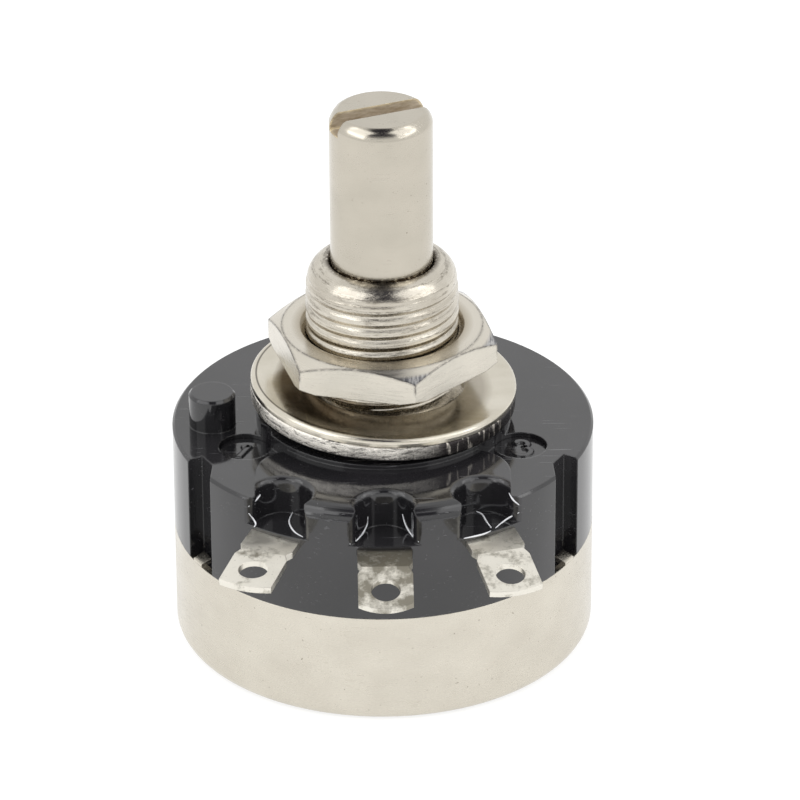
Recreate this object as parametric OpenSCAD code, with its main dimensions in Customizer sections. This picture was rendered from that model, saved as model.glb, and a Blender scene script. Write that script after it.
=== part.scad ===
// Rotary potentiometer: a moulded housing with three solder terminals, a threaded
// bushing, a slotted shaft, and a deep-drawn rear cover.
// Millimetres. The shaft's axis is Z, and the cover's flat rear is at z = 0.

/* [Body] */
// Diameter of the housing and of the rear cover
body_d = 24.9; // [24.7:0.1:25.3]
// Height of the rear cover
cover_h = 6.9; // [6.6:0.1:7.2]
// Sheet thickness of the rear cover
cover_t = 0.45; // [0.35:0.05:0.5]
// Bend radius between the cover's floor and its wall, outside
cover_bend_r = 0.7; // [0.5:0.1:1]
// Height of the housing's front face
face_z = 13.4; // [13.3:0.1:13.6]
// Height of the raised platform round the terminal niches
platform_z = 14.0; // [13.8:0.1:14.2]
// Diameter of the round boss under the bushing's flange
boss_d = 15; // [14:0.1:15.4]
// Top of the boss
boss_z = 14.3; // [14.1:0.1:14.3]

/* [Bushing] */
// Major diameter of the bushing's thread
thread_d = 9; // [8.8:0.1:9.2]
// Top of the bushing
bushing_top_z = 23.95; // [23.5:0.05:24.4]
// Diameter of the bushing's flange
flange_d = 15.65; // [15.5:0.05:15.7]
// Thickness of the bushing's flange
flange_t = 0.9; // [0.8:0.1:1.2]
// Underside of the bushing's flange, at the axis
flange_z = 14.75; // [14.75:0.05:14.9]
// Lean of the flange and of the washer on it, raised on the left
flange_lean = 2.9; // [0:0.1:2.9]

/* [Shaft] */
// Shaft diameter
shaft_d = 6; // [5.9:0.05:6]
// Tip of the shaft
shaft_top_z = 33.3; // [30:0.1:36]
// Chamfer round the shaft's tip
shaft_chamfer = 0.4; // [0.2:0.1:0.6]
// Width of the screwdriver slot
slot_w = 0.8; // [0.6:0.1:1.2]
// Depth of the screwdriver slot
slot_depth = 1.2; // [0.8:0.1:1.6]
// Angle of the slot from the X axis
slot_angle = 20; // [0:1:90]

/* [Nut and washer] */
// Width of the hexagon nut across its flats
nut_af = 12; // [11.5:0.1:12.5]
// Thickness of the nut
nut_t = 2; // [1.6:0.1:2.4]
// Underside of the nut as it stands on the thread
nut_z = 17.7; // [17:0.05:18.5]
// Turn of the nut: angle of one corner from the X axis
nut_angle = -14; // [-30:1:30]
// Outer diameter of the plain washer
washer_d = 15.7; // [15:0.1:15.7]
// Hole of the plain washer
washer_hole_d = 9.5; // [9.4:0.1:9.8]
// Thickness of the plain washer
washer_t = 0.5; // [0.4:0.1:0.6]

/* [Terminals] */
// Places of terminals 1 to 3 round the housing, from its front
terminal_place = [-30, 0.45, 30]; // [-32:0.05:32]
// Directions of terminals 1 to 3, from straight to the front
terminal_splay = [-19, 1, 16]; // [-24:0.5:24]
// Width of a terminal
terminal_w = 3.15; // [2.8:0.05:3.3]
// Width of a terminal at its waist
terminal_waist_w = 2.7; // [2.2:0.05:2.8]
// Thickness of the terminals' strip
terminal_t = 0.4; // [0.3:0.05:0.5]
// Upper side of the terminals where they leave the housing
terminal_z = 11.5; // [11.3:0.05:11.55]
// Length from the housing to the bend
terminal_base = 1.9; // [1.7:0.1:2.8]
// Length from the bend to the tip, terminals 1 to 3
terminal_tip = [3.4, 3.2, 3.4]; // [2.6:0.1:3.5]
// Rise of the tips' curved ends, terminals 1 to 3
tip_crown = [0.25, 0.45, 0.25]; // [0.1:0.05:0.6]
// Slope of the three tips below the horizontal, terminals 1 to 3
tip_slope = [6, 18, 13]; // [0:1:30]
// Diameter of the wire hole
wire_hole_d = 1.7; // [1.4:0.05:1.8]
// Distance from the bend to the wire hole, terminals 1 to 3
wire_hole_at = [1.75, 1.75, 1.95]; // [1.4:0.05:2.1]

/* [Niches and notches] */
// Radius of a terminal niche's round inner end
niche_r = 1.65; // [1.6:0.05:1.8]
// Distance of a niche's centre from the shaft's axis
niche_centre = 11.6; // [11.4:0.1:11.8]
// Floor of the niches
niche_floor_z = 11.72; // [11.65:0.01:11.9]
// Diameter of the two terminal-number recesses
recess_d = 3.1; // [2.8:0.1:3.3]
// Depth of the terminal-number recesses
recess_depth = 0.45; // [0.3:0.05:0.6]
// Diameter of the locating lug
lug_d = 2.76; // [2.6:0.02:3]
// Top of the locating lug
lug_top_z = 15.5; // [15:0.1:16]

/* [Inside] */
// Radius of the housing's cavity
cavity_r = 10.45; // [10.4:0.05:10.6]
// Rear end of the housing's spigot inside the cover
spigot_z = 3.4; // [2.8:0.1:4]
// Thickness of the element board
board_t = 1.0; // [0.9:0.05:1.1]
// Mean radius of the resistive track
track_r = 7.5; // [7.4:0.05:7.6]
// Width of the resistive track
track_w = 2.0; // [1.8:0.1:2.2]
// Angle from the shaft's middle position to either stop
half_travel = 150; // [130:1:150]

/* [Hidden] */

$fn = 96;
eps = 0.01;
over = 1;

body_r = body_d / 2;
shaft_r = shaft_d / 2;
bore_clearance = 0.03;
flange_top_z = flange_z + flange_t;
ceiling_z = terminal_z - terminal_t;
barrel_r = 5.1;
board_z = ceiling_z - board_t;
board_hole_r = 4.6;
film_t = 0.1;
film_z = board_z - film_t;
contact_gap = 0.05;
contact_z = film_z - contact_gap;
terminal_az = [for (place = terminal_place) place - 90];
terminal_dir = [for (splay = terminal_splay) splay - 90];
rivet_inset = 3.0;
notch_az = [-150, -30, 90];
rotor_z = 5.6;
rotor_front_z = 8.9;
rotor_r = 9.3;
hub_r = 3.9;
stop_rib_half = 20;
stop_lug_half = 180 - half_travel - stop_rib_half - 0.5;
brush_r = 1.0;
ring_z = 10.05;
ring_t = 0.5;
rivet_shank_r = 0.5;
rivet_head_r = 0.75;
pad_from = 27;
pad_to = 41;

// Points along an arc, from angle a0 to a1
function arc(cx, cy, r, a0, a1, n = 8) =
    [for (i = [0:n]) let (a = a0 + (a1 - a0) * i / n) [cx + r * cos(a), cy + r * sin(a)]];

// A flat ring, or part of one, with its lower side at z
module ring(r_out, r_in, z, h) {
    translate([0, 0, z])
        difference() {
            cylinder(r = r_out, h = h);
            translate([0, 0, -over]) cylinder(r = r_in, h = h + 2 * over);
        }
}

// A wedge from the axis, half_angle to each side of azimuth az
module wedge(az, half_angle, r, z, h) {
    steps = ceil(half_angle / 15);
    rim = [for (i = [-steps:steps]) let (a = az + half_angle * i / steps) [r * cos(a), r * sin(a)]];
    translate([0, 0, z])
        linear_extrude(height = h)
            polygon(concat([[0, 0]], rim));
}

// Turns to a notch and mirrors the left one, so that both front notches slant alike
module at_notch(az) {
    rotate([0, 0, az])
        mirror([0, cos(az) < -0.5 ? 1 : 0, 0])
            children();
}

// Rear cover: one deep-drawn nickel-plated cup, staked into the housing's notches
module cover_tab(az) {
    tab_w = 0.95;
    tab_h = 0.42;
    reach = 0.7;
    at_notch(az)
        translate([body_r, tab_w - 0.15, cover_h])
            rotate([90, 0, 0])
                linear_extrude(height = tab_w)
                    polygon([[-0.02, -cover_t], [-0.02, 0.15], [-reach, tab_h],
                             [-reach, tab_h - 0.35], [-cover_t, 0], [-cover_t, -cover_t]]);
}

module rear_cover() {
    inner_bend = cover_bend_r - cover_t;
    outer_r = body_r - cover_bend_r;
    color("gainsboro") {
        rotate_extrude()
            polygon(concat([[0, 0]],
                           arc(outer_r, cover_bend_r, cover_bend_r, -90, 0),
                           [[body_r, cover_h], [body_r - cover_t, cover_h]],
                           arc(outer_r, cover_bend_r, inner_bend, 0, -90),
                           [[0, cover_t]]));
        for (az = notch_az) cover_tab(az);
    }
}

// Housing: one moulding with the boss, platform, niches, lug, notches and stop rib
module housing_blank() {
    edge = 0.15;
    round_r = 1.0;
    rotate_extrude()
        polygon([[0, spigot_z], [body_r - cover_t, spigot_z], [body_r - cover_t, cover_h],
                 [body_r, cover_h], [body_r, face_z - edge], [body_r - edge, face_z], [0, face_z]]);
    cylinder(r = boss_d / 2, h = boss_z);
    intersection() {
        rotate_extrude()
            polygon(concat([[0, face_z - over], [body_r, face_z - over]],
                           arc(body_r - round_r, platform_z - round_r, round_r, 0, 90),
                           [[0, platform_z]]));
        platform_block();
    }
}

module platform_block() {
    corner_r = 2.85;
    corner_x = 4.55;
    corner_y = -7.7;
    side_x = corner_x + corner_r;
    translate([0, 0, face_z - over]) {
        for (side = [-1, 1])
            translate([side * corner_x, corner_y, 0]) cylinder(r = corner_r, h = 3);
        linear_extrude(height = 3)
            polygon([[-corner_x, corner_y + corner_r], [corner_x, corner_y + corner_r],
                     [corner_x, corner_y], [side_x, corner_y], [side_x, -body_r],
                     [-side_x, -body_r], [-side_x, corner_y], [-corner_x, corner_y]]);
    }
}

// The niche over a terminal: a half-round inner end, and walls that flare to the mouth
module niche(i) {
    edge_r = 0.35;
    lip_r = 0.5;
    top = platform_z - niche_floor_z;
    flare = arc(niche_lip_x(lip_r), niche_r + lip_r, lip_r, -90, 0, 5);
    rotate([0, 0, terminal_az[i]])
        translate([niche_centre, 0, niche_floor_z]) {
            rotate_extrude()
                polygon(concat([[0, 0], [niche_r, 0]],
                               arc(niche_r + edge_r, top - edge_r, edge_r, 180, 90, 5),
                               [[niche_r + edge_r, top + over], [0, top + over]]));
            linear_extrude(height = 4)
                polygon(concat([[0, -niche_r], [0, niche_r]], flare,
                               [[4, niche_r + lip_r], [4, -niche_r - lip_r]],
                               [for (k = [5:-1:0]) [flare[k][0], -flare[k][1]]]));
        }
}

// Where the rounding of a niche's mouth begins, so that it ends on the housing's face
function niche_lip_x(lip_r) = sqrt(pow(body_r, 2) - pow(niche_r + lip_r, 2)) - niche_centre - lip_r;

// The notch in the housing's side that the cover is staked into, full height
module notch(az) {
    floor_r = body_r - 1;
    sink = 0.05;
    at_notch(az)
        translate([0, 0, cover_h - sink])
            linear_extrude(height = 8)
                polygon([[floor_r, 1.3], [floor_r, 0], [body_r, -1.5],
                         [body_r + over, -3], [body_r + over, 1.3]]);
}

// Straight slot for a terminal's strip, open to the cavity's ceiling
module terminal_slot(i) {
    at_terminal(i)
        translate([-5.4, -terminal_w / 2, ceiling_z - eps])
            cube([6.6, terminal_w, terminal_t + eps]);
}

module lug() {
    r = lug_d / 2;
    chamfer = 0.15;
    translate([-10.05, -0.6, 0])
        rotate_extrude()
            polygon([[0, face_z - over], [r, face_z - over], [r, lug_top_z - chamfer],
                     [r - chamfer, lug_top_z], [0, lug_top_z]]);
}

module stop_rib() {
    difference() {
        intersection() {
            cylinder(r = cavity_r + 0.5, h = 12);
            wedge(-90, stop_rib_half, cavity_r + 3, rotor_z - 0.8, rotor_front_z - rotor_z + 1.2);
        }
        cylinder(r = rotor_r + 0.3, h = 14);
    }
}

module housing() {
    recess_r = 8.8;
    recess_az = 23.5;
    color([0.09, 0.09, 0.1]) {
        difference() {
            union() {
                housing_blank();
                lug();
            }
            translate([0, 0, -over]) cylinder(r = cavity_r, h = ceiling_z + over);
            translate([0, 0, -over]) cylinder(r = barrel_r, h = 20);
            for (i = [0:2]) {
                niche(i);
                terminal_slot(i);
            }
            for (az = notch_az) notch(az);
            for (az = [-recess_az, -180 + recess_az])
                rotate([0, 0, az])
                    translate([recess_r, 0, face_z - recess_depth])
                        cylinder(r = recess_d / 2, h = 3);
        }
        stop_rib();
    }
}

// Tilts its children about the point of the axis at height z, raised on the left
module lean(z) {
    translate([0, 0, z])
        rotate([0, flange_lean, 0])
            translate([0, 0, -z])
                children();
}

// Bushing: a threaded barrel moulded into the boss, with a flange that leans a little
module bushing() {
    r = thread_d / 2;
    relief_r = r - 0.45;
    relief_h = 0.5;
    tip_round = 0.9;
    edge = 0.12;
    flange_r = flange_d / 2;
    bore_r = shaft_r + bore_clearance;
    mouth = 0.12;
    color([0.8, 0.78, 0.73]) {
        rotate_extrude()
            polygon(concat([[bore_r, ceiling_z], [barrel_r, ceiling_z], [barrel_r, flange_z + edge],
                            [relief_r, flange_z + edge], [relief_r, flange_top_z + relief_h],
                            [r, flange_top_z + relief_h + 0.3]],
                           arc(r - tip_round, bushing_top_z - tip_round, tip_round, 0, 90, 6),
                           [[bore_r + mouth, bushing_top_z], [bore_r, bushing_top_z - mouth]]));
        lean(flange_z)
            rotate_extrude()
                polygon(concat([[relief_r - 0.3, flange_z], [flange_r - edge, flange_z],
                                [flange_r, flange_z + edge]],
                               arc(flange_r - edge, flange_top_z - edge, edge, 0, 90, 3),
                               [[relief_r - 0.3, flange_top_z]]));
    }
}

// Shaft: turned steel, with a grease groove under the bushing's mouth, a groove
// for the retaining ring, and a flatted rear end that drives the rotor
module shaft() {
    groove_r = shaft_r - 0.2;
    ring_groove_r = shaft_r - 0.5;
    flats = 4.4;
    rear_z = rotor_z - 0.6;
    neck_z = ring_z - 0.35;
    c = shaft_chamfer;
    color([0.82, 0.8, 0.75])
        difference() {
            rotate_extrude()
                polygon([[0, rear_z], [shaft_r - 0.3, rear_z], [shaft_r, rear_z + 0.3],
                         [shaft_r, ring_z], [ring_groove_r, ring_z], [ring_groove_r, ring_z + ring_t],
                         [shaft_r, ring_z + ring_t], [shaft_r, bushing_top_z - 1.4],
                         [groove_r, bushing_top_z - 1.3], [groove_r, bushing_top_z - 0.2],
                         [shaft_r, bushing_top_z - 0.1], [shaft_r, shaft_top_z - c],
                         [shaft_r - c, shaft_top_z], [0, shaft_top_z]]);
            for (side = [0, 180])
                rotate([0, 0, side])
                    translate([flats / 2, -shaft_d, rear_z - over])
                        cube([shaft_d, 2 * shaft_d, neck_z - rear_z + over]);
            rotate([0, 0, slot_angle])
                translate([-shaft_d, -slot_w / 2, shaft_top_z - slot_depth])
                    cube([2 * shaft_d, slot_w, slot_depth + over]);
        }
}

// Hexagon nut, chamfered on both faces
module hex_nut() {
    corner_r = nut_af / 2 / cos(30);
    flat_r = nut_af / 2;
    top_r = flat_r - 0.1;
    seat_r = flat_r + 0.5;
    bore_r = thread_d / 2;
    lead = 0.35;
    color([0.83, 0.81, 0.76])
        translate([0, 0, nut_z])
            difference() {
                intersection() {
                    rotate([0, 0, nut_angle]) cylinder(r = corner_r, h = nut_t, $fn = 6);
                    rotate_extrude()
                        polygon([[0, 0], [seat_r, 0], [corner_r + eps, (corner_r - seat_r) * tan(30)],
                                 [corner_r + eps, nut_t - (corner_r - top_r) * tan(30)],
                                 [top_r, nut_t], [0, nut_t]]);
                }
                translate([0, 0, -over]) cylinder(r = bore_r, h = nut_t + 2 * over);
                for (end = [0, 1])
                    translate([0, 0, end * nut_t])
                        mirror([0, 0, end])
                            translate([0, 0, -eps]) cylinder(r1 = bore_r + lead, r2 = bore_r, h = lead);
            }
}

// Plain washer: punched, with a rolled upper edge, flat on the leaning flange
module plain_washer() {
    r = washer_d / 2;
    hole_r = washer_hole_d / 2;
    edge = 0.25;
    color([0.8, 0.78, 0.72])
        lean(flange_z)
            translate([0, 0, flange_top_z])
                rotate_extrude()
                    polygon(concat([[hole_r, 0], [r - 0.05, 0], [r, 0.05]],
                                   arc(r - edge, washer_t - edge, edge, 0, 90, 5),
                                   arc(hole_r + edge / 2, washer_t - edge / 2, edge / 2, 90, 180, 3)));
}

// Places its children on the line of terminal i, with x = 0 where it leaves the housing
module at_terminal(i) {
    rotate([0, 0, terminal_az[i]])
        translate([body_r, 0, 0])
            rotate([0, 0, terminal_dir[i] - terminal_az[i]])
                children();
}

// Terminal: one strip with a waist at the bend and a round wire hole
module terminal(i) {
    w = terminal_w / 2;
    waist = terminal_waist_w / 2;
    slope = tip_slope[i];
    tail = 4.6;
    tip_end = [for (s = [-5:5]) [terminal_tip[i] - tip_crown[i] * s * s / 25, w * s / 5]];
    color([0.82, 0.81, 0.77])
        at_terminal(i)
            difference() {
                union() {
                    translate([0, 0, ceiling_z])
                        linear_extrude(height = terminal_t)
                            polygon([[-tail, -w + 0.3], [-tail + 0.3, -w], [terminal_base - 0.5, -w],
                                     [terminal_base, -waist], [terminal_base, waist],
                                     [terminal_base - 0.5, w], [-tail + 0.3, w], [-tail, w - 0.3]]);
                    translate([terminal_base, 0, terminal_z])
                        rotate([0, slope, 0])
                            translate([0, 0, -terminal_t])
                                linear_extrude(height = terminal_t)
                                    polygon(concat([[-terminal_t * sin(slope) / 2, -waist], [0.5, -w]],
                                                   tip_end,
                                                   [[0.5, w], [-terminal_t * sin(slope) / 2, waist]]));
                }
                translate([terminal_base, 0, terminal_z])
                    rotate([0, slope, 0])
                        translate([wire_hole_at[i], 0, -terminal_t - over])
                            cylinder(r = wire_hole_d / 2, h = terminal_t + 2 * over);
                at_rivet() cylinder(r = rivet_shank_r, h = 20);
            }
}

module at_rivet() {
    translate([-rivet_inset, 0, 0]) children();
}

// Hollow rivet that clamps a terminal's tail to the element board
module rivet(i) {
    head_t = 0.25;
    hole_r = 0.25;
    low = film_z - head_t;
    high = terminal_z;
    color("silver")
        at_terminal(i)
            at_rivet()
                difference() {
                    union() {
                        translate([0, 0, low]) cylinder(r = rivet_head_r, h = head_t);
                        translate([0, 0, low]) cylinder(r = rivet_shank_r, h = high - low);
                    }
                    translate([0, 0, low - over]) cylinder(r = hole_r, h = high - low + 2 * over);
                }
}

module rivet_holes(r) {
    for (i = [0:2])
        at_terminal(i) at_rivet() cylinder(r = r, h = 20);
}

// Element board: a punched phenolic disc under the cavity's ceiling
module element_board() {
    color([0.45, 0.28, 0.12])
        difference() {
            ring(cavity_r - 0.1, board_hole_r, board_z, board_t);
            rivet_holes(rivet_shank_r);
        }
}

// Resistive track: an open ring of carbon film on the board's rear
module resistive_track() {
    color([0.12, 0.12, 0.12])
        difference() {
            ring(track_r + track_w / 2, track_r - track_w / 2, film_z, film_t);
            wedge(-90, pad_to, 20, film_z - over, film_t + 2 * over);
            rivet_holes(rivet_shank_r);
        }
}

// Silvered pad at one end of the track, reaching out to its terminal's rivet
module track_pad(i) {
    side = i == 0 ? -1 : 1;
    middle = -90 + side * (pad_from + pad_to) / 2;
    color([0.85, 0.85, 0.87])
        difference() {
            intersection() {
                ring(cavity_r - 0.25, track_r - track_w / 2, film_z, film_t);
                wedge(middle, (pad_to - pad_from) / 2, 20, film_z - over, film_t + 2 * over);
            }
            rivet_holes(rivet_shank_r);
        }
}

// Collector ring with a tongue to the middle terminal's rivet
module collector_ring() {
    inner_r = board_hole_r + 0.2;
    outer_r = track_r - track_w / 2 - 0.4;
    tongue_w = 2;
    color([0.85, 0.85, 0.87])
        difference() {
            union() {
                ring(outer_r, inner_r, film_z, film_t);
                translate([-tongue_w / 2, -cavity_r + 0.3, film_z])
                    cube([tongue_w, cavity_r - 0.3 - inner_r - 0.3, film_t]);
            }
            rivet_holes(rivet_shank_r);
        }
}

// Rotor: a moulded disc on the shaft's flats, with the brush pocket and the stop lug
module rotor() {
    flats = 4.4;
    lug_r = cavity_r - 0.25;
    web = 0.8;
    color([0.16, 0.12, 0.1])
        difference() {
            union() {
                translate([0, 0, rotor_z]) cylinder(r = rotor_r, h = rotor_front_z - rotor_z);
                translate([0, 0, rotor_z]) cylinder(r = hub_r, h = 9.65 - rotor_z);
                intersection() {
                    translate([0, 0, rotor_z]) cylinder(r = lug_r, h = rotor_front_z - rotor_z);
                    wedge(90, stop_lug_half, 20, rotor_z, rotor_front_z - rotor_z);
                }
            }
            intersection() {
                translate([0, 0, rotor_z - over]) cylinder(r = shaft_r, h = 10);
                translate([-flats / 2, -shaft_d, rotor_z - over]) cube([flats, 2 * shaft_d, 10]);
            }
            translate([0, track_r, rotor_z + web]) cylinder(r = brush_r + 0.05, h = 10);
        }
}

// Carbon brush that runs on the track
module brush() {
    color([0.2, 0.2, 0.21])
        translate([0, track_r, 8.1]) {
            cylinder(r = brush_r, h = contact_z - 8.1 - 0.3);
            translate([0, 0, contact_z - 8.1 - 0.3]) cylinder(r1 = brush_r, r2 = brush_r - 0.3, h = 0.3);
        }
}

// Coil spring behind the brush
module brush_spring() {
    wire_r = 0.11;
    coil_r = brush_r - wire_r - 0.05;
    turns = 3.5;
    sides = 8;
    per_turn = 16;
    rings = round(turns * per_turn);
    low = rotor_z + 0.8 + wire_r;
    high = 8.1 - wire_r;
    function at(i, j) =
        let (a = 360 * i / per_turn, b = 360 * j / sides, r = coil_r + wire_r * cos(b))
            [r * cos(a), r * sin(a) + track_r, low + (high - low) * i / rings + wire_r * sin(b)];
    points = [for (i = [0:rings]) for (j = [0:sides - 1]) at(i, j)];
    walls = [for (i = [0:rings - 1]) for (j = [0:sides - 1])
                 let (k = (j + 1) % sides)
                     [i * sides + j, (i + 1) * sides + j, (i + 1) * sides + k, i * sides + k]];
    first = [for (j = [0:sides - 1]) j];
    last = [for (j = [sides - 1:-1:0]) rings * sides + j];
    color("silver") polyhedron(points = points, faces = concat(walls, [first, last]));
}

// Contact spring: a flat ring on the rotor with one raised finger on the collector ring
module contact_spring() {
    t = 0.15;
    in_r = hub_r;
    out_r = 5.3;
    finger_w = 1.2;
    z = rotor_front_z;
    tip_r = 5.6;
    rise = contact_z - z - t;
    color([0.72, 0.45, 0.2]) {
        ring(out_r, in_r, z, t);
        rotate([0, 0, 90])
            translate([0, finger_w / 2, z])
                rotate([90, 0, 0])
                    linear_extrude(height = finger_w)
                        polygon([[in_r + 0.4, 0], [in_r + 0.9, 0], [tip_r, rise - 0.1],
                                 [tip_r + 0.4, rise - 0.1], [tip_r + 0.4, rise + t - 0.1],
                                 [tip_r + 0.1, rise + t], [tip_r - 0.1, rise + t],
                                 [tip_r - 0.2, rise + t - 0.1], [in_r + 0.8, t], [in_r + 0.4, t]]);
    }
}

// Open retaining ring in the shaft's groove
module retaining_ring() {
    color("dimgray")
        difference() {
            ring(4.2, shaft_r - 0.5, ring_z, ring_t);
            translate([0, 0, ring_z - over])
                linear_extrude(height = ring_t + 2 * over)
                    polygon([[0, 0], [6, -3.2], [6, 3.2]]);
        }
}

// Thrust washer between the retaining ring and the bushing's rear end
module thrust_washer() {
    color([0.75, 0.6, 0.3])
        ring(4.3, shaft_r + 0.1, ring_z + ring_t, 0.45);
}

rear_cover();
housing();
bushing();
shaft();
hex_nut();
plain_washer();
terminal(0);  // terminal_1
terminal(1);  // terminal_2
terminal(2);  // terminal_3
rivet(0);  // rivet_1
rivet(1);  // rivet_2
rivet(2);  // rivet_3
element_board();
resistive_track();
collector_ring();
track_pad(0);  // track_pad_1
track_pad(2);  // track_pad_3
rotor();
contact_spring();
brush();
brush_spring();
retaining_ring();
thrust_washer();
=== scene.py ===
"""Looks of the rotary potentiometer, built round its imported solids. Lengths below are in mm."""
import math

import bmesh
import bpy
from mathutils import Matrix, Vector, noise


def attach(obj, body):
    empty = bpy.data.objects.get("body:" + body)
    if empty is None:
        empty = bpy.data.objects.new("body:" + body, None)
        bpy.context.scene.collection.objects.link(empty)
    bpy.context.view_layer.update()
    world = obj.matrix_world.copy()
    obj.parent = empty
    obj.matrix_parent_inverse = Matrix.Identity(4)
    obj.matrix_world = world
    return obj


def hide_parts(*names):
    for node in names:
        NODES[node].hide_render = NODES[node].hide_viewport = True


MM = 0.001
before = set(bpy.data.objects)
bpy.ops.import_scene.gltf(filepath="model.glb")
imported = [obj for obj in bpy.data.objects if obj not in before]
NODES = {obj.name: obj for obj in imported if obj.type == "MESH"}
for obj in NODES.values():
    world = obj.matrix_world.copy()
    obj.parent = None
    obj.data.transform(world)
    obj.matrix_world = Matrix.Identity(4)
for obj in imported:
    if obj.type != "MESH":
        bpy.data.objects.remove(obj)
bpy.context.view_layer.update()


# Node helpers
class Nodes:
    """A node tree, with short calls for the nodes that the materials and the world share."""

    def __init__(self, tree):
        self.tree = tree
        self.tree.nodes.clear()

    def add(self, kind, **settings):
        node = self.tree.nodes.new(kind)
        for key, value in settings.items():
            setattr(node, key, value)
        return node

    def join(self, a, b):
        self.tree.links.new(a, b)

    def remap(self, value, low, high, to_low=0.0, to_high=1.0, kind="LINEAR"):
        node = self.add("ShaderNodeMapRange", interpolation_type=kind)
        for index, number in ((1, low), (2, high), (3, to_low), (4, to_high)):
            node.inputs[index].default_value = number
        self.join(value, node.inputs[0])
        return node.outputs[0]

    def math(self, kind, a, b=None, clamp=False):
        node = self.add("ShaderNodeMath", operation=kind, use_clamp=clamp)
        for index, value in ((0, a), (1, b)):
            if value is None:
                continue
            if isinstance(value, (int, float)):
                node.inputs[index].default_value = value
            else:
                self.join(value, node.inputs[index])
        return node.outputs[0]

    def mix(self, factor, a, b):
        node = self.add("ShaderNodeMix", data_type="RGBA")
        self.join(factor, node.inputs[0])
        for index, value in ((6, a), (7, b)):
            if isinstance(value, tuple):
                node.inputs[index].default_value = (*value, 1)
            else:
                self.join(value, node.inputs[index])
        return node.outputs[2]

    def dot(self, a, b):
        node = self.add("ShaderNodeVectorMath", operation="DOT_PRODUCT")
        self.join(a, node.inputs[0])
        if isinstance(b, tuple):
            node.inputs[1].default_value = b
        else:
            self.join(b, node.inputs[1])
        return node.outputs["Value"]


class Shader(Nodes):
    """A new material with one Principled surface."""

    def __init__(self, name):
        self.mat = bpy.data.materials.new(name)
        self.mat.use_nodes = True
        super().__init__(self.mat.node_tree)
        self.bsdf = self.add("ShaderNodeBsdfPrincipled")
        self.join(self.bsdf.outputs[0], self.add("ShaderNodeOutputMaterial").inputs[0])
        self.place = self.add("ShaderNodeTexCoord").outputs["Object"]

    def put(self, **values):
        for key, value in values.items():
            self.bsdf.inputs[key.replace("_", " ")].default_value = value

    def scaled(self, scale, turn=(0, 0, 0), shift=(0, 0, 0)):
        """Object coordinates in millimetres, times scale."""
        node = self.add("ShaderNodeMapping")
        node.inputs["Scale"].default_value = [v / MM for v in scale]
        node.inputs["Rotation"].default_value = [math.radians(v) for v in turn]
        node.inputs["Location"].default_value = shift
        self.join(self.place, node.inputs["Vector"])
        return node.outputs[0]

    def noise(self, scale, detail=3.0, rough=0.5, turn=(0, 0, 0), shift=(0, 0, 0), warp=0.0):
        node = self.add("ShaderNodeTexNoise")
        node.inputs["Scale"].default_value = 1.0
        node.inputs["Detail"].default_value = detail
        node.inputs["Roughness"].default_value = rough
        node.inputs["Distortion"].default_value = warp
        self.join(self.scaled(scale, turn, shift), node.inputs["Vector"])
        return node.outputs["Fac"]

    def along(self, axis):
        """The object's own coordinate along axis 0, 1 or 2, in millimetres."""
        split = self.add("ShaderNodeSeparateXYZ")
        self.join(self.scaled((1, 1, 1)), split.inputs[0])
        return split.outputs[axis]

    def reach(self):
        """Distance from the object's own upright axis, in millimetres."""
        x, y = self.along(0), self.along(1)
        square = self.math("ADD", self.math("MULTIPLY", x, x), self.math("MULTIPLY", y, y))
        return self.math("SQRT", square)

    def upright(self):
        """How far the face points up: 1 for a level face and 0 for a wall."""
        split = self.add("ShaderNodeSeparateXYZ")
        self.join(self.add("ShaderNodeNewGeometry").outputs["True Normal"], split.inputs[0])
        return split.outputs[2]

    def rims(self, radius, low=0.93, high=0.985):
        """1 on the mesh's edges, over about radius, and 0 on its faces."""
        flat = self.add("ShaderNodeNewGeometry").outputs["True Normal"]
        return self.remap(self.dot(self.edges(radius), flat), high, low)

    def scratches(self, turn, density=0.62, fine=9.0, along=0.35, shift=(0, 0, 0)):
        """Thin broken lines along one direction: 1 on a line and 0 beside it."""
        lines = self.noise((along, fine, fine), detail=1.0, turn=turn, shift=shift)
        gate = self.noise((0.35, 0.5, 0.5), detail=2.0, shift=shift)
        sharp = self.remap(lines, density, density + 0.03)
        return self.math("MULTIPLY", sharp, self.remap(gate, 0.5, 0.6), clamp=True)

    def edges(self, radius):
        """The mesh's normals rounded over its edges by radius, for the light they catch."""
        node = self.add("ShaderNodeBevel", samples=4)
        node.inputs["Radius"].default_value = radius * MM
        return node.outputs[0]

    def bump(self, *layers, base=None):
        """Height layers (height, strength, distance in mm) on one another."""
        last = base
        for height, strength, distance in layers:
            node = self.add("ShaderNodeBump")
            node.inputs["Strength"].default_value = strength
            node.inputs["Distance"].default_value = distance * MM
            self.join(height, node.inputs["Height"])
            if last is not None:
                self.join(last, node.inputs["Normal"])
            last = node.outputs[0]
        self.join(last, self.bsdf.inputs["Normal"])

    def link(self, socket, name):
        self.join(socket, self.bsdf.inputs[name])


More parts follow.
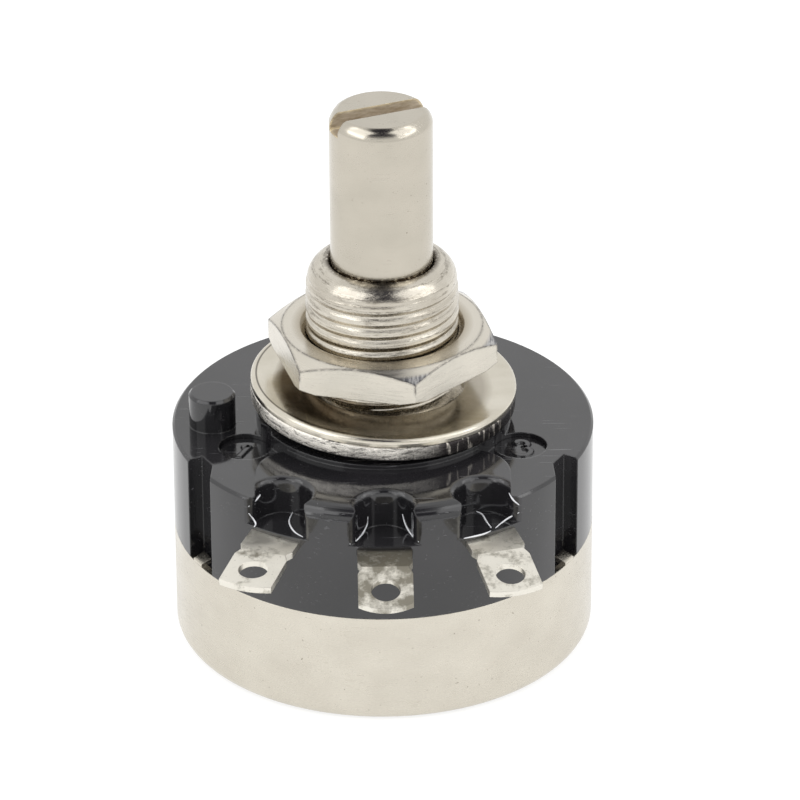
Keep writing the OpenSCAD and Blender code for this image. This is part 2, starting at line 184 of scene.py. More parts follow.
# Materials
def nickel(name, light, dark, rough, marks=0.25):
    """Nickel plate: slight warm mottling, fine level lines, and a few handling marks."""
    s = Shader(name)
    s.put(Metallic=1.0)
    cloud = s.noise((0.35, 0.35, 0.5), detail=4)
    fine = s.noise((0.6, 0.6, 14.0), detail=3)
    specks = s.noise((5, 5, 5), detail=2)
    lines = s.scratches((0, 0, 0), shift=(4, 2, 1))
    cross = s.scratches((20, 35, 70), density=0.66, shift=(9, 5, 3))
    tone = s.mix(s.remap(cloud, 0.3, 0.7), dark, light)
    pits = s.remap(specks, 0.72, 0.76)
    s.link(s.mix(s.math("MULTIPLY", pits, 0.5), tone, (0.12, 0.09, 0.06)), "Base Color")
    r = s.remap(fine, 0.3, 0.7, *rough)
    s.link(s.math("ADD", r, s.math("MULTIPLY", s.math("MAXIMUM", lines, cross), marks)), "Roughness")
    s.bump((fine, 0.15, 0.01), (lines, 0.3, -0.01), (cross, 0.3, -0.01), base=s.edges(0.08))
    return s


def painted_highlight():
    """Painted highlights in the niches: a pale, glossy colour that stands in for light caught in their
    fillets.
    """
    s = Shader("painted_highlight_pale")
    s.put(Base_Color=(0.80, 0.81, 0.84, 1), Roughness=0.25, IOR=1.5)
    return s


def worn_thread():
    """The bushing's plating: broken dark lines round the thread, and dark patches at the shaft's foot.
    """
    s = Shader("nickel_thread")
    s.put(Metallic=1.0)
    cloud = s.noise((0.5, 0.5, 0.8), detail=4)
    rings = s.noise((0.35, 0.35, 5.5), detail=4, rough=0.7, shift=(2, 7, 1))
    nick = s.noise((4, 4, 9), detail=3, rough=0.7, shift=(6, 1, 3))
    tone = s.mix(s.remap(cloud, 0.3, 0.7), (0.50, 0.46, 0.39), (0.66, 0.62, 0.54))
    lines = s.math("MULTIPLY", s.remap(rings, 0.52, 0.60), s.remap(nick, 0.35, 0.6))
    tone = s.mix(s.math("MULTIPLY", lines, 0.7), tone, (0.16, 0.14, 0.11))
    # Darker in patches round the mouth, at the shaft's foot.
    foot = s.math("MULTIPLY", s.remap(s.reach(), 3.5, 3.15), s.remap(s.along(2), 22.6, 23.2), clamp=True)
    mouth_dark_patches = s.math("MULTIPLY", foot, s.remap(nick, 0.34, 0.48), clamp=True)
    s.link(s.mix(mouth_dark_patches, tone, (0.05, 0.035, 0.022)), "Base Color")
    s.link(s.remap(nick, 0.3, 0.7, 0.14, 0.32), "Roughness")
    s.bump((rings, 0.5, 0.04), (nick, 0.25, 0.015), base=s.edges(0.04))
    return s


def phenolic():
    """The black moulding: glossy, with a little dust, smears and thin scratches."""
    s = Shader("phenolic_black")
    s.put(IOR=1.62, Specular_IOR_Level=0.6)
    cloud = s.noise((0.3, 0.3, 0.3), detail=4)
    dust = s.remap(s.noise((7, 7, 7), detail=1, shift=(3, 8, 2)), 0.755, 0.78)
    smear = s.remap(s.noise((0.5, 0.5, 0.5), detail=5, shift=(7, 1, 4)), 0.45, 0.75)
    one = s.scratches((0, 0, 35), density=0.70, fine=8, shift=(1, 6, 2))
    two = s.scratches((25, 10, -50), density=0.71, fine=10, shift=(5, 3, 8))
    lines = s.math("MAXIMUM", one, two)
    base = s.mix(s.remap(cloud, 0.3, 0.7), (0.010, 0.010, 0.011), (0.017, 0.016, 0.018))
    spots = s.math("MULTIPLY", s.math("MAXIMUM", dust, lines), 0.22)
    s.link(s.mix(spots, base, (0.30, 0.30, 0.32)), "Base Color")
    r = s.remap(smear, 0, 1, 0.07, 0.15)
    s.link(s.math("ADD", r, s.math("MULTIPLY", lines, 0.25)), "Roughness")
    peel = s.noise((0.9, 0.9, 0.9), detail=2, shift=(2, 2, 6))
    s.bump((peel, 0.10, 0.03), (lines, 0.25, -0.01), base=s.edges(0.12))
    return s


def slot_wall():
    """The shaft's slot: sawn, dull and tan, with a painted highlight along its edges."""
    s = Shader("sawn_slot")
    grain = s.noise((1.5, 1.5, 6), detail=4, rough=0.7)
    s.put(Metallic=0.35, Roughness=0.45)
    wall = s.mix(s.remap(grain, 0.35, 0.65), (0.36, 0.29, 0.20), (0.56, 0.49, 0.39))
    # Painted highlight: a bright gold line along the slot's edges.
    painted_edge_glint = s.math("MULTIPLY", s.rims(0.3, 0.85, 0.95), s.remap(grain, 0.3, 0.6))
    s.link(s.mix(painted_edge_glint, wall, (1.0, 0.86, 0.55)), "Base Color")
    s.bump((grain, 0.3, 0.02), base=s.edges(0.05))
    return s


def turned_nut():
    """The nut: pale sides, a painted reflection on the top that darkens and browns round the thread,
    hatched corner facets, and painted shade along the top outer edges.
    """
    s = Shader("nickel_nut")
    s.put(Metallic=1.0)
    cloud = s.noise((0.4, 0.4, 0.5), detail=4)
    fine = s.noise((0.8, 0.8, 12.0), detail=3)
    nick = s.noise((3, 3, 6), detail=4, rough=0.7, shift=(6, 1, 3))
    hatch = s.noise((9, 1.2, 0.3), detail=2, shift=(2, 2, 5))
    level = s.upright()
    sides = s.mix(s.remap(cloud, 0.3, 0.7), (0.60, 0.57, 0.50), (0.68, 0.64, 0.56))
    sides = s.mix(s.math("MULTIPLY", s.remap(nick, 0.68, 0.72), 0.4), sides, (0.14, 0.12, 0.09))
    reach = s.reach()
    # Painted reflection: level faces take this darker tone, browner round the thread, instead of the
    # sides' tone.
    top = s.mix(s.remap(reach, 4.7, 5.4), (0.38, 0.33, 0.25), (0.66, 0.62, 0.54))
    tone = s.mix(s.remap(level, 0.6, 0.7), sides, top)
    corner = s.math("MULTIPLY", s.remap(reach, 6.3, 6.5), s.remap(s.along(0), -1.0, 0.5), clamp=True)
    facet = s.math("MULTIPLY", corner, s.remap(level, 0.6, 0.7), clamp=True)
    grey = s.mix(s.remap(hatch, 0.42, 0.58), (0.20, 0.20, 0.21), (0.50, 0.49, 0.48))
    tone = s.mix(facet, tone, grey)
    # Painted shade: dark broken lines along the top outer edges.
    front = s.math("MULTIPLY", s.rims(0.25, 0.97, 0.995), s.remap(s.along(2), 18.3, 18.6), clamp=True)
    inside = s.remap(reach, 5.6, 5.8)
    rim = s.math("MULTIPLY", s.math("MULTIPLY", front, inside), s.remap(nick, 0.3, 0.5), clamp=True)
    s.link(s.mix(s.math("MULTIPLY", rim, 0.85), tone, (0.06, 0.055, 0.055)), "Base Color")
    s.link(s.remap(fine, 0.3, 0.7, 0.16, 0.30), "Roughness")
    s.bump((fine, 0.15, 0.01), (nick, 0.12, 0.01), base=s.edges(0.08))
    return s


def washer_painted_reflection():
    """The washer: a bright rim; a painted reflection of the nut, as a golden-brown field that darkens to
    the left and the front; and a painted shadow line along the left of the rim.
    """
    s = Shader("nickel_washer")
    s.put(Metallic=1.0)
    cloud = s.noise((0.5, 0.5, 0.5), detail=4)
    fine = s.noise((0.5, 8, 8), detail=3)
    pale = s.mix(s.remap(cloud, 0.3, 0.7), (0.60, 0.56, 0.47), (0.70, 0.66, 0.57))
    reach = s.math("ADD", s.reach(), s.remap(s.along(1), -4.5, 0.5, 0.0, 0.8))
    inner = s.remap(reach, 7.15, 6.55)
    side = s.remap(s.along(0), -3.5, 5.0, 1.0, 0.45)
    patchy = s.remap(cloud, 0.2, 0.6, 0.8, 1.0)
    # Painted reflection of the nut: the field inside the rim darkens to brown, more to the left and the
    # front.
    painted_nut_reflection = s.math("MULTIPLY", s.math("MULTIPLY", inner, side), patchy, clamp=True)
    tone = s.mix(painted_nut_reflection, pale, (0.13, 0.095, 0.055))
    # Painted shadow: a dark line just inside the rim on the left, where the washer meets the flange.
    ring = s.math("MULTIPLY", s.remap(s.reach(), 7.36, 7.42), s.remap(s.reach(), 7.52, 7.46), clamp=True)
    left = s.math("MULTIPLY", ring, s.remap(s.along(0), 1.0, -2.5), clamp=True)
    s.link(s.mix(s.math("MULTIPLY", left, 0.8), tone, (0.05, 0.04, 0.03)), "Base Color")
    s.link(s.remap(fine, 0.3, 0.7, 0.14, 0.26), "Roughness")
    s.bump((fine, 0.12, 0.01), base=s.edges(0.06))
    return s


def knurl():
    """The flange's side: rubbed scuffs under a painted highlight on the left, and painted shade with
    upright nicks on the right.
    """
    s = Shader("nickel_scuffs_and_painted_sheen")
    s.put(Metallic=1.0)
    rub = s.noise((0.9, 0.9, 4.2), detail=6, rough=0.75, warp=0.6)
    bars = s.noise((3.4, 3.4, 0.5), detail=3, shift=(8, 1, 4))
    nick = s.noise((6, 6, 8), detail=4, rough=0.7, shift=(5, 5, 5))
    left = s.mix(s.remap(rub, 0.38, 0.50), (0.10, 0.095, 0.09), (0.92, 0.88, 0.81))
    right = s.mix(s.remap(bars, 0.58, 0.66), (0.05, 0.045, 0.045), (0.62, 0.58, 0.52))
    # Painted light: the left of the side is a bright painted highlight over the rubbed scuffs, the right
    # painted shade with upright nicks.
    s.link(s.mix(s.remap(s.along(0), 0.8, 3.6), left, right), "Base Color")
    s.link(s.remap(nick, 0.35, 0.65, 0.18, 0.5), "Roughness")
    s.bump((rub, 0.6, 0.05), (nick, 0.5, 0.03), base=s.edges(0.08))
    return s


def tin(name, stain):
    """Tinned strip: pale, a little cloudy, with dull flux stains."""
    s = Shader(name)
    s.put(Metallic=1.0)
    cloud = s.noise((0.9, 0.9, 0.9), detail=6, rough=0.65, shift=(stain * 7, 2, 3))
    grain = s.noise((6, 6, 6), detail=4, rough=0.7, shift=(1, stain * 5, 2))
    low = 0.62 - 0.25 * stain
    tone = s.mix(s.remap(cloud, low, low + 0.16), (0.80, 0.77, 0.69), (0.30, 0.28, 0.23))
    s.link(s.mix(s.remap(grain, 0.62, 0.75), tone, (0.16, 0.15, 0.12)), "Base Color")
    s.link(s.remap(cloud, 0.3, 0.7, 0.28, 0.5), "Roughness")
    s.bump((cloud, 0.25, 0.06), (grain, 0.3, 0.02), base=s.edges(0.06))
    return s


def moulded(name, light, dark, rough, grain=3.0):
    """A plain moulded or pressed material, softly mottled."""
    s = Shader(name)
    cloud = s.noise((grain, grain, grain), detail=5, rough=0.6)
    s.link(s.mix(s.remap(cloud, 0.3, 0.7), dark, light), "Base Color")
    s.link(s.remap(cloud, 0.3, 0.7, rough - 0.06, rough + 0.06), "Roughness")
    s.bump((cloud, 0.2, 0.03), base=s.edges(0.06))
    return s


def strip(name, light, dark, rough):
    """Rolled or printed metal with a grain along X."""
    s = Shader(name)
    s.put(Metallic=1.0)
    grain = s.noise((0.8, 9, 9), detail=3)
    s.link(s.mix(s.remap(grain, 0.3, 0.7), dark, light), "Base Color")
    s.link(s.remap(grain, 0.3, 0.7, rough - 0.05, rough + 0.08), "Roughness")
    s.bump((grain, 0.2, 0.01), base=s.edges(0.04))
    return s


# Palette, and each solid's finish
COVER = nickel("nickel_cover", (0.68, 0.64, 0.555), (0.62, 0.58, 0.50), rough=(0.2, 0.3))
SHAFT = nickel("nickel_shaft", (0.55, 0.51, 0.435), (0.50, 0.465, 0.395), rough=(0.14, 0.22), marks=0.15)
NUT = turned_nut()
THREAD = worn_thread()
WASHER = washer_painted_reflection()
KNURL = knurl()
SLOT = slot_wall()
BLACK = phenolic()
# Painted highlights: the pale glossy colour of the gleam beads in the niches.
PAINTED_HIGHLIGHT = painted_highlight()
TINS = [tin("tin_1", 0.25), tin("tin_2", 0.95), tin("tin_3", 0.45)]
BOARD = moulded("board_brown", (0.34, 0.20, 0.09), (0.22, 0.12, 0.05), 0.55)
ROTOR = moulded("rotor_brown", (0.06, 0.045, 0.035), (0.03, 0.022, 0.018), 0.4)
CARBON = moulded("carbon_matt", (0.035, 0.035, 0.035), (0.015, 0.015, 0.015), 0.62, grain=8)
SILVER = strip("silver_paste", (0.82, 0.82, 0.80), (0.66, 0.66, 0.64), 0.42)
BRONZE = strip("spring_bronze", (0.74, 0.48, 0.25), (0.60, 0.36, 0.17), 0.28)
STEEL = strip("spring_steel", (0.48, 0.48, 0.49), (0.34, 0.34, 0.35), 0.3)

FINISH = {
    "rear_cover": COVER, "housing": BLACK, "shaft": SHAFT, "hex_nut": NUT, "plain_washer": WASHER,
    "bushing": THREAD, "terminal_1": TINS[0], "terminal_2": TINS[1], "terminal_3": TINS[2],
    "rivet_1": TINS[0], "rivet_2": TINS[0], "rivet_3": TINS[0], "element_board": BOARD,
    "resistive_track": CARBON, "collector_ring": SILVER, "track_pad_1": SILVER,
    "track_pad_3": SILVER, "rotor": ROTOR, "contact_spring": BRONZE, "brush": CARBON,
    "brush_spring": STEEL, "retaining_ring": STEEL, "thrust_washer": BRONZE,
}
for node, look in FINISH.items():
    data = NODES[node].data
    data.materials.clear()
    data.materials.append(look.mat)


# Mesh helpers
def mesh_piece(name, verts, faces, material, smooth=True):
    """A new object from points in millimetres, with doubled points and empty faces taken out."""
    mesh = bpy.data.meshes.new(name)
    mesh.from_pydata([Vector(v) * MM for v in verts], [], faces)
    bm = bmesh.new()
    bm.from_mesh(mesh)
    bmesh.ops.remove_doubles(bm, verts=bm.verts, dist=0.0005 * MM)
    bmesh.ops.dissolve_degenerate(bm, edges=bm.edges, dist=0.0005 * MM)
    bmesh.ops.recalc_face_normals(bm, faces=bm.faces)
    bm.to_mesh(mesh)
    bm.free()
    for polygon in mesh.polygons:
        polygon.use_smooth = smooth
    obj = bpy.data.objects.new(name, mesh)
    bpy.context.scene.collection.objects.link(obj)
    mesh.materials.append(material.mat)
    return obj


def soft_edges(obj, angle):
    """Smooth faces, but for the edges that turn by more than angle degrees."""
    obj.data.set_sharp_from_angle(angle=math.radians(angle))


def revolve(profile, n=144):
    """Vertices and faces of a closed ring from (radius, z) points, in order round its section."""
    verts, faces = [], []
    m = len(profile)
    for i in range(n):
        a = 2 * math.pi * i / n
        verts += [(r * math.cos(a), r * math.sin(a), z) for r, z in profile]
    for i in range(n):
        j = (i + 1) % n
        for k in range(m):
            h = (k + 1) % m
            faces.append((i * m + k, j * m + k, j * m + h, i * m + h))
    return verts, faces


def arc(cx, cy, r, a0, a1, n):
    """Points of an arc from angle a0 to a1, in degrees."""
    turn = [math.radians(a0 + (a1 - a0) * i / n) for i in range(n + 1)]
    return [(cx + r * math.cos(a), cy + r * math.sin(a)) for a in turn]


# Bushing
R_THREAD, PITCH, DEPTH = 4.5, 0.75, 0.14
SEAM_DEPTH, SEAM_HALF = 0.035, 0.09
WORN_DEPTH, WORN_FROM, WORN_OVER = 0.06, 2.6, 1.6
R_RELIEF, RELIEF_H, RUN_OUT_R, RUN_OUT_H = 4.02, 0.35, 0.5, 0.3
Z_REAR, Z_FLANGE, Z_FLANGE_TOP, Z_TOP = 11.1, 14.75, 15.65, 23.95
R_BORE, R_BARREL, R_FLANGE = 3.03, 5.1, 7.825
TIP_IN, TIP_DOWN = 1.25, 1.3
R_TIP = R_THREAD - 0.1 - TIP_IN
MOUTH, BARREL_EDGE, FLANGE_EDGE = 0.12, 0.12, 0.14
LEAN = math.radians(2.9)


def thread_radius(z, turn):
    """The rolled thread's worn profile, running out into the relief groove and the rounded tip."""
    phase = (z / PITCH - turn) % 1.0
    ridge = 0.5 - 0.5 * math.cos(2 * math.pi * phase)
    seam = max(0.0, 1 - abs(phase - 0.5) / SEAM_HALF)
    r = R_THREAD - DEPTH * (1 - ridge ** 0.7) - SEAM_DEPTH * seam
    r -= WORN_DEPTH * min(1.0, max(0.0, (z - Z_TOP + WORN_FROM) / WORN_OVER))
    low = (z - (Z_FLANGE_TOP + RELIEF_H)) / RUN_OUT_H
    r = max(R_RELIEF, min(r, R_RELIEF + RUN_OUT_R * max(0.0, low)))
    if z > Z_TOP - TIP_DOWN:
        d = (z - (Z_TOP - TIP_DOWN)) / TIP_DOWN
        r = min(r, R_TIP + TIP_IN * math.sqrt(max(0.0, 1 - d * d)))
    return r


def bushing_thread():
    """A helical grid: each turn of n points ends one pitch, or steps rows, above its start."""
    n, steps = 160, 14
    z0, z1 = Z_FLANGE_TOP - 0.3, Z_TOP - 0.03
    rows = int((z1 - z0) / PITCH * steps) + 2 * steps + 2
    verts, faces = [], []
    for k in range(rows):
        for i in range(n):
            turn = i / n
            z = z0 + PITCH * (k / steps - 1 + turn)
            z = min(max(z, z0), z1)
            a = 2 * math.pi * turn
            rub = noise.noise(Vector((3 * math.cos(a), 3 * math.sin(a), z * 2.2)))
            nick = noise.noise(Vector((11 * math.cos(a), 11 * math.sin(a), z * 7)))
            r = thread_radius(z, turn) + 0.012 * rub + 0.008 * nick
            verts.append((r * math.cos(a), r * math.sin(a), z))
    for k in range(rows - 1):
        for i in range(n - 1):
            a = k * n + i
            faces.append((a, a + 1, a + n + 1, a + n))
        if k + steps + 1 < rows:
            a, b = k * n + n - 1, (k + steps) * n
            faces.append((a, b, b + n, a + n))
    return mesh_piece("bushing_thread", verts, faces, THREAD)


def bushing_core():
    """The barrel in the boss, the body inside the thread, and the lip round the shaft."""
    neck_r = R_RELIEF - 0.04
    inset_r, inset_z = 0.01, 0.005
    profile = [(R_BORE, Z_REAR), (R_BARREL, Z_REAR), (R_BARREL, Z_FLANGE + BARREL_EDGE)]
    profile += [(neck_r, Z_FLANGE + BARREL_EDGE), (neck_r, Z_TOP - 0.6)]
    for angle in range(58, 91, 4):
        a = math.radians(angle)
        profile.append((R_TIP + TIP_IN * math.cos(a) - inset_r,
                        Z_TOP - TIP_DOWN + TIP_DOWN * math.sin(a) - inset_z))
    profile += [(R_BORE + MOUTH, Z_TOP), (R_BORE, Z_TOP - MOUTH)]
    obj = mesh_piece("bushing_body", *revolve(profile), THREAD)
    soft_edges(obj, 40)
    return obj


def bushing_flange():
    """The flange leans a little about the axis at its underside, raised on the left."""
    inner_r, edge_r = R_RELIEF - 0.2, R_FLANGE - FLANGE_EDGE
    profile = [(inner_r, Z_FLANGE), (edge_r, Z_FLANGE)]
    profile += arc(edge_r, Z_FLANGE + FLANGE_EDGE, FLANGE_EDGE, -90, 0, 4)[1:]
    profile += arc(edge_r, Z_FLANGE_TOP - FLANGE_EDGE, FLANGE_EDGE, 0, 90, 4)
    profile += [(inner_r, Z_FLANGE_TOP)]
    verts, faces = revolve(profile)
    c, s = math.cos(LEAN), math.sin(LEAN)
    verts = [(c * x + s * (z - Z_FLANGE), y, Z_FLANGE - s * x + c * (z - Z_FLANGE))
             for x, y, z in verts]
    obj = mesh_piece("bushing_flange", verts, faces, THREAD)
    obj.data.materials.append(KNURL.mat)
    for polygon in obj.data.polygons:
        centre = polygon.center / MM
        if math.hypot(centre.x, centre.y) > R_FLANGE - 0.2:
            polygon.material_index = 1
    soft_edges(obj, 40)
    return obj


thread, core, flange = bushing_thread(), bushing_core(), bushing_flange()
soft_edges(thread, 60)
for piece in (thread, core, flange):
    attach(piece, "case")
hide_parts("bushing")


# Shaft end
SHAFT_CUT, SHAFT_R, SHAFT_TOP = 22.0, 3.0, 33.52
GROOVE = ((0, 22.55), (0.2, 22.65), (0.2, 23.75), (0, 23.85))
CHAMFER_IN, CHAMFER_DOWN = 0.52, 0.74
CHAMFER_SHAPE = ((0, 1), (0.02, 0.90), (0.09, 0.75), (0.33, 0.42), (0.62, 0.15), (1, 0))
SLOT_W, SLOT_DEPTH, SLOT_TURN = 1.25, 1.0, 22.5


def shaft_end():
    """The shaft above the bushing's mouth: a steep chamfer and the screwdriver slot."""
    profile = [(0, SHAFT_CUT), (SHAFT_R, SHAFT_CUT)]
    profile += [(SHAFT_R - inward, z) for inward, z in GROOVE]
    profile += [(SHAFT_R - CHAMFER_IN * inward, SHAFT_TOP - CHAMFER_DOWN * down)
                for inward, down in CHAMFER_SHAPE]
    profile += [(0, SHAFT_TOP)]
    body = mesh_piece("shaft_end", *revolve(profile), SHAFT)
    reach = SHAFT_R + 1
    cube = [(x, y, z) for x in (-reach, reach) for y in (-SLOT_W / 2, SLOT_W / 2)
            for z in (SHAFT_TOP - SLOT_DEPTH, SHAFT_TOP + 1)]
    faces = [(0, 1, 3, 2), (4, 6, 7, 5), (0, 4, 5, 1), (2, 3, 7, 6), (0, 2, 6, 4), (1, 5, 7, 3)]
    cutter = mesh_piece("slot_cutter", cube, faces, SLOT, smooth=False)
    cutter.rotation_euler[2] = math.radians(SLOT_TURN)
    cut = body.modifiers.new("slot", "BOOLEAN")
    cut.operation = "DIFFERENCE"
    cut.solver = "EXACT"
    cut.material_mode = "TRANSFER"
    cut.object = cutter
    bpy.context.view_layer.update()
    view = bpy.context.evaluated_depsgraph_get()
    mesh = bpy.data.meshes.new_from_object(body.evaluated_get(view))
    body.modifiers.clear()
    body.data = mesh
    bpy.data.objects.remove(cutter)
    soft_edges(body, 25)
    return body


def shaft_rear():
    """The shaft below the cut, with its flats and grooves, as the solid has them."""
    bm = bmesh.new()
    bm.from_mesh(NODES["shaft"].data)
    parts = list(bm.verts) + list(bm.edges) + list(bm.faces)
    bmesh.ops.bisect_plane(bm, geom=parts, plane_co=(0, 0, SHAFT_CUT * MM), plane_no=(0, 0, 1),
                           clear_outer=True)
    mesh = bpy.data.meshes.new("shaft_rear")
    bm.to_mesh(mesh)
    bm.free()
    mesh.materials.clear()
    mesh.materials.append(SHAFT.mat)
    obj = bpy.data.objects.new("shaft_rear", mesh)
    bpy.context.scene.collection.objects.link(obj)
    return obj


end, rear = shaft_end(), shaft_rear()
for piece in (end, rear):
    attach(piece, "shaft")
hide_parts("shaft")


# Numerals
Z_RECESS, R_RECESS, FLOOR = 12.95, 1.54, 0.16
STROKE, RELIEF, SHOULDER = 0.34, 0.12, 0.03


def ribbon(points, width, z0, z1):
    """Vertices and faces of a flat-topped bar along a line of (x, y) points."""
    half = [(0.62, z0), (0.5, z1 - SHOULDER), (0.42, z1)]
    section = [(-side, z) for side, z in half] + half[::-1]
    verts, faces = [], []
    for k, (x, y) in enumerate(points):
        before, after = points[max(k - 1, 0)], points[min(k + 1, len(points) - 1)]
        way = Vector((after[0] - before[0], after[1] - before[1])).normalized()
        for side, z in section:
            verts.append((x - way.y * side * width, y + way.x * side * width, z))
    last = len(verts) - 6
    for k in range(0, last, 6):
        faces += [(k + i, k + (i + 1) % 6, k + 6 + (i + 1) % 6, k + 6 + i) for i in range(6)]
    faces += [tuple(range(6)), tuple(range(last + 5, last - 1, -1))]
    return verts, faces


def pad(x, y, n=64):
    """Vertices and faces of the round floor that fills the bottom of a number recess."""
    turns = [2 * math.pi * i / n for i in range(n)]
    verts = [(x + R_RECESS * math.cos(a), y + R_RECESS * math.sin(a), z)
             for z in (Z_RECESS - 0.02, Z_RECESS + FLOOR) for a in turns]
    faces = [(i, (i + 1) % n, n + (i + 1) % n, n + i) for i in range(n)]
    return verts, faces + [tuple(range(n)), tuple(range(n, 2 * n))]


def numeral(name, strokes, recess, centre, turn=0.0):
    """A moulded numeral: raised flat strokes on the floor of its recess."""
    c, s = math.cos(math.radians(turn)), math.sin(math.radians(turn))
    verts, faces = pad(*recess)
    floor = Z_RECESS + FLOOR
    for stroke in strokes:
        line = [(centre[0] + x * c - y * s, centre[1] + x * s + y * c) for x, y in stroke]
        more, shell = ribbon(line, STROKE, floor - 0.05, floor + RELIEF)
        faces += [tuple(i + len(verts) for i in face) for face in shell]
        verts += more
    obj = mesh_piece(name, verts, faces, BLACK, smooth=False)
    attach(obj, "case")
    return obj


ONE = [[(0.0, -0.72), (0.0, 0.72)], [(0.0, 0.66), (-0.34, 0.36)]]
THREE = [arc(0.0, 0.42, 0.40, 165, -80, 10), arc(0.0, -0.44, 0.50, 80, -160, 12)]
numeral("numeral_1", ONE, (-8.07, -3.509), (-8.12, -3.68), turn=-25)
numeral("numeral_3", THREE, (8.07, -3.509), (8.13, -3.4), turn=4)


# Gleams: painted highlights along the niches' fillets
GLEAM_R = 0.055
NICHE_CENTRE, NICHE_FLOOR = 11.6, 11.73
NICHE_PLACE = {"niche_gleam_1": -30, "niche_gleam_2": 0.45, "niche_gleam_3": 30}
# Each route goes through (right, outward, up), measured from the middle of its niche's floor
ROUTES = {
    "niche_gleam_1": [
        [(-0.25, -1.6, 0.1), (-0.05, -0.85, 0), (0.45, -0.2, 0), (1.05, 0.25, 0), (1.65, 0.45, 0)],
        [(-1.9, 0.6, 0.65), (-1.7, 0.4, 0.2), (-1.5, 0.5, 0), (-1.4, 0.85, 0)],
        [(-1.6, -0.25, 1.55), (-1.65, 0.1, 1.4), (-1.9, 0.6, 1.1)],
    ],
    "niche_gleam_2": [
        [(-0.95, -1.35, 0.75), (-1.0, -1.3, 0.25), (-1.25, -0.75, 0), (-1.6, 0.05, 0),
         (-2.0, 0.65, 0.1)],
        [(1.05, -1.25, 0.95), (1.15, -1.15, 0.55), (1.35, -0.9, 0.15), (1.65, -0.2, 0.05),
         (1.95, 0.65, 0.2)],
    ],
    "niche_gleam_3": [
        [(0.45, -1.55, 0.05), (0.6, -1.15, 0), (0.4, -0.35, 0), (0.25, 0.45, 0)],
        [(2.0, 0.65, 0.6), (1.65, 0.3, 0.25), (1.2, 0.2, 0), (0.45, 0.6, 0)],
        [(1.65, 0.1, 1.75), (1.7, 0.45, 1.45), (2.0, 0.65, 1.1)],
        [(-1.75, 0.7, 0), (-1.15, 0.8, 0), (-0.5, 0.85, 0), (0.05, 0.75, 0)],
    ],
}


def in_niche(place, point):
    """A point of a niche's own frame: right, outward and up from the middle of its floor."""
    az = math.radians(place - 90)
    right, outward, up = point
    reach = NICHE_CENTRE + outward
    return (reach * math.cos(az) - right * math.sin(az), reach * math.sin(az) + right * math.cos(az),
            NICHE_FLOOR + up)


def smooth_line(points, n=5):
    """The line through the points, rounded between them."""
    p = [Vector(v) for v in (points[0], *points, points[-1])]
    line = []
    for k in range(1, len(p) - 2):
        for j in range(n):
            t = j / n
            line.append(0.5 * (2 * p[k] + (p[k + 1] - p[k - 1]) * t
                               + (2 * p[k - 1] - 5 * p[k] + 4 * p[k + 1] - p[k + 2]) * t ** 2
                               + (3 * p[k] - p[k - 1] - 3 * p[k + 1] + p[k + 2]) * t ** 3))
    return line + [p[-1]]


def gleam(name, lines):
    """Thin pale beads on a niche's floor and walls, tapering to their ends: painted highlights along its
    fillets.
    """
    sides = 6
    verts, faces = [], []
    for points in lines:
        line = smooth_line(points)
        first = len(verts)
        for k, point in enumerate(line):
            way = (line[min(k + 1, len(line) - 1)] - line[max(k - 1, 0)]).normalized()
            side = way.cross(Vector((0, 0, 1))).normalized()
            over = side.cross(way)
            r = GLEAM_R * (0.35 + 0.65 * math.sin(math.pi * (k + 0.5) / len(line)))
            for j in range(sides):
                a = 2 * math.pi * j / sides
                verts.append(point + r * (math.cos(a) * side + math.sin(a) * over))
        for k in range(len(line) - 1):
            a = first + sides * k
            b = a + sides
            faces += [(a + j, a + (j + 1) % sides, b + (j + 1) % sides, b + j) for j in range(sides)]
        faces += [tuple(range(first, first + sides)), tuple(range(len(verts) - sides, len(verts)))]
    obj = mesh_piece(name, verts, faces, PAINTED_HIGHLIGHT)
    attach(obj, "case")


for name, routes in ROUTES.items():
    gleam(name, [[in_niche(NICHE_PLACE[name], point) for point in route] for route in routes])


# Light, stage and camera
GROUND_HALF, GROUND_GLOW, GROUND_GREY = 3000, 0.72, 0.32
ROOM_DARK = (0.02, 0.018, 0.03)
# Dark patches in front, each at (elevation, inner radius, outer radius) in degrees
ROOM_PATCHES = ((62, 14, 26), (80, 12, 22))
# The dark band in front, between these heights of the sky's unit sphere
BAND_FOOT, BAND_HEAD, BAND_FRONT = (0.44, 0.54), (0.94, 0.86), (0.02, -0.12)


def white_stage():
    """The ground: white to the camera and in reflections, and a grey that takes the shadow."""
    mesh = bpy.data.meshes.new("ground")
    half = GROUND_HALF * MM
    mesh.from_pydata([(-half, -half, 0), (half, -half, 0), (half, half, 0), (-half, half, 0)],
                     [], [(0, 1, 2, 3)])
    obj = bpy.data.objects.new("ground", mesh)
    bpy.context.scene.collection.objects.link(obj)
    mat = bpy.data.materials.new("ground_white")
    mat.use_nodes = True
    n = Nodes(mat.node_tree)
    path = n.add("ShaderNodeLightPath")
    seen = n.math("MAXIMUM", path.outputs["Is Camera Ray"], path.outputs["Is Glossy Ray"])
    glow = n.add("ShaderNodeEmission")
    n.join(n.math("MULTIPLY", seen, GROUND_GLOW), glow.inputs["Strength"])
    matte = n.add("ShaderNodeBsdfDiffuse")
    matte.inputs["Color"].default_value = (GROUND_GREY, GROUND_GREY, GROUND_GREY, 1)
    both = n.add("ShaderNodeAddShader")
    n.join(glow.outputs[0], both.inputs[0])
    n.join(matte.outputs[0], both.inputs[1])
    n.join(both.outputs[0], n.add("ShaderNodeOutputMaterial").inputs[0])
    mesh.materials.append(mat)


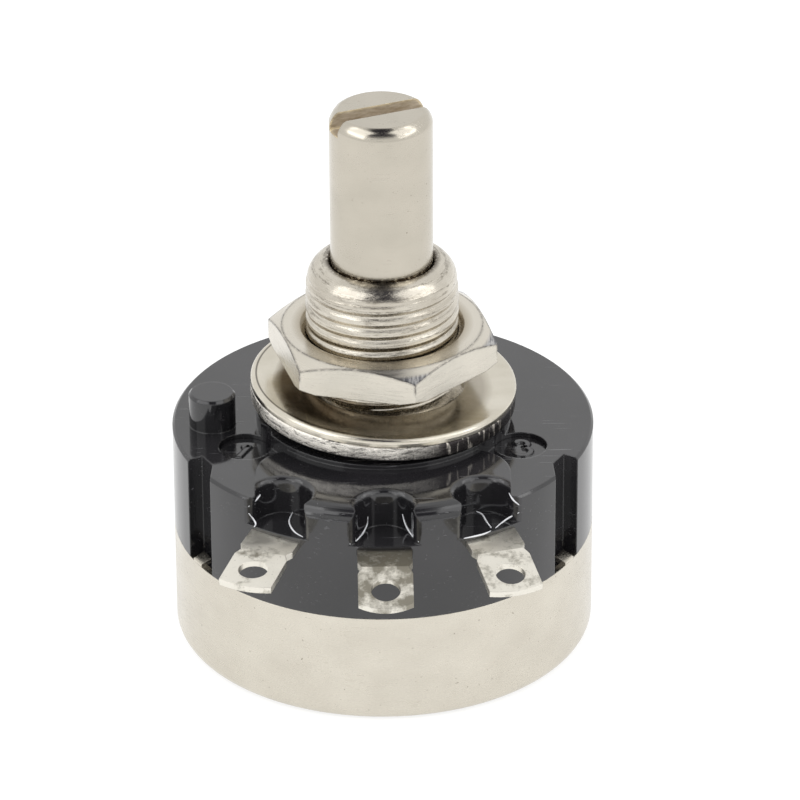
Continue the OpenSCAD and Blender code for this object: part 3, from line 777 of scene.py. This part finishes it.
def white_world():
    """White all round; reflections also show the dark room in front of the object."""
    world = bpy.data.worlds.new("studio")
    bpy.context.scene.world = world
    world.use_nodes = True
    n = Nodes(world.node_tree)
    place = n.add("ShaderNodeTexCoord").outputs["Generated"]
    split = n.add("ShaderNodeSeparateXYZ")
    n.join(place, split.inputs[0])
    foot = n.remap(split.outputs[2], *BAND_FOOT, kind="SMOOTHSTEP")
    head = n.remap(split.outputs[2], *BAND_HEAD, kind="SMOOTHSTEP")
    front = n.remap(split.outputs[1], *BAND_FRONT, kind="SMOOTHSTEP")
    dark = n.math("MULTIPLY", n.math("MULTIPLY", foot, head), front)
    for elevation, inner, outer in ROOM_PATCHES:
        e = math.radians(elevation)
        near = n.dot(place, (0, -math.cos(e), math.sin(e)))
        rim = [math.cos(math.radians(angle)) for angle in (outer, inner)]
        dark = n.math("MAXIMUM", dark, n.remap(near, *rim, kind="SMOOTHSTEP"))
    glossy = n.add("ShaderNodeLightPath").outputs["Is Glossy Ray"]
    back = n.add("ShaderNodeBackground")
    n.join(n.mix(n.math("MULTIPLY", dark, glossy), (1, 1, 1), ROOM_DARK), back.inputs["Color"])
    n.join(back.outputs[0], n.add("ShaderNodeOutputWorld").inputs[0])


def soft_lamp(name, place, size, power):
    """A square lamp that points at the object."""
    lamp = bpy.data.lights.new(name, "AREA")
    lamp.shape = "SQUARE"
    lamp.size = size * MM
    lamp.energy = power
    obj = bpy.data.objects.new(name, lamp)
    bpy.context.scene.collection.objects.link(obj)
    obj.location = Vector(place) * MM
    obj.rotation_euler = (-Vector(place)).to_track_quat("-Z", "Y").to_euler()
    obj.visible_camera = False


def photo_camera():
    """The photo's camera: it looks 28.5 degrees down, through a 249 mm lens."""
    distance, elevation, roll = 326.9, 28.48, -0.30
    target = (1.02, 0.0, 14.55)
    focal_px, photo_px = 5537.0, 800
    e, t = math.radians(elevation), math.radians(roll)
    forward = Vector((0, math.cos(e), -math.sin(e)))
    right = Vector((1, 0, 0))
    up = right.cross(forward)
    x = math.cos(t) * right + math.sin(t) * up
    y = -math.sin(t) * right + math.cos(t) * up
    place = (Vector(target) - distance * forward) * MM
    data = bpy.data.cameras.new("camera")
    data.sensor_width = 36.0
    data.lens = focal_px / photo_px * data.sensor_width
    data.clip_start, data.clip_end = 10 * MM, 20000 * MM
    obj = bpy.data.objects.new("camera", data)
    bpy.context.scene.collection.objects.link(obj)
    obj.matrix_world = Matrix.Translation(place) @ Matrix((x, y, -forward)).transposed().to_4x4()
    bpy.context.scene.camera = obj


white_stage()
white_world()
soft_lamp("lamp_left", (-300, -170, 335), 380, 0.8)
soft_lamp("lamp_right", (310, -140, 335), 380, 0.7)
photo_camera()
bpy.context.scene.view_settings.view_transform = "Standard"
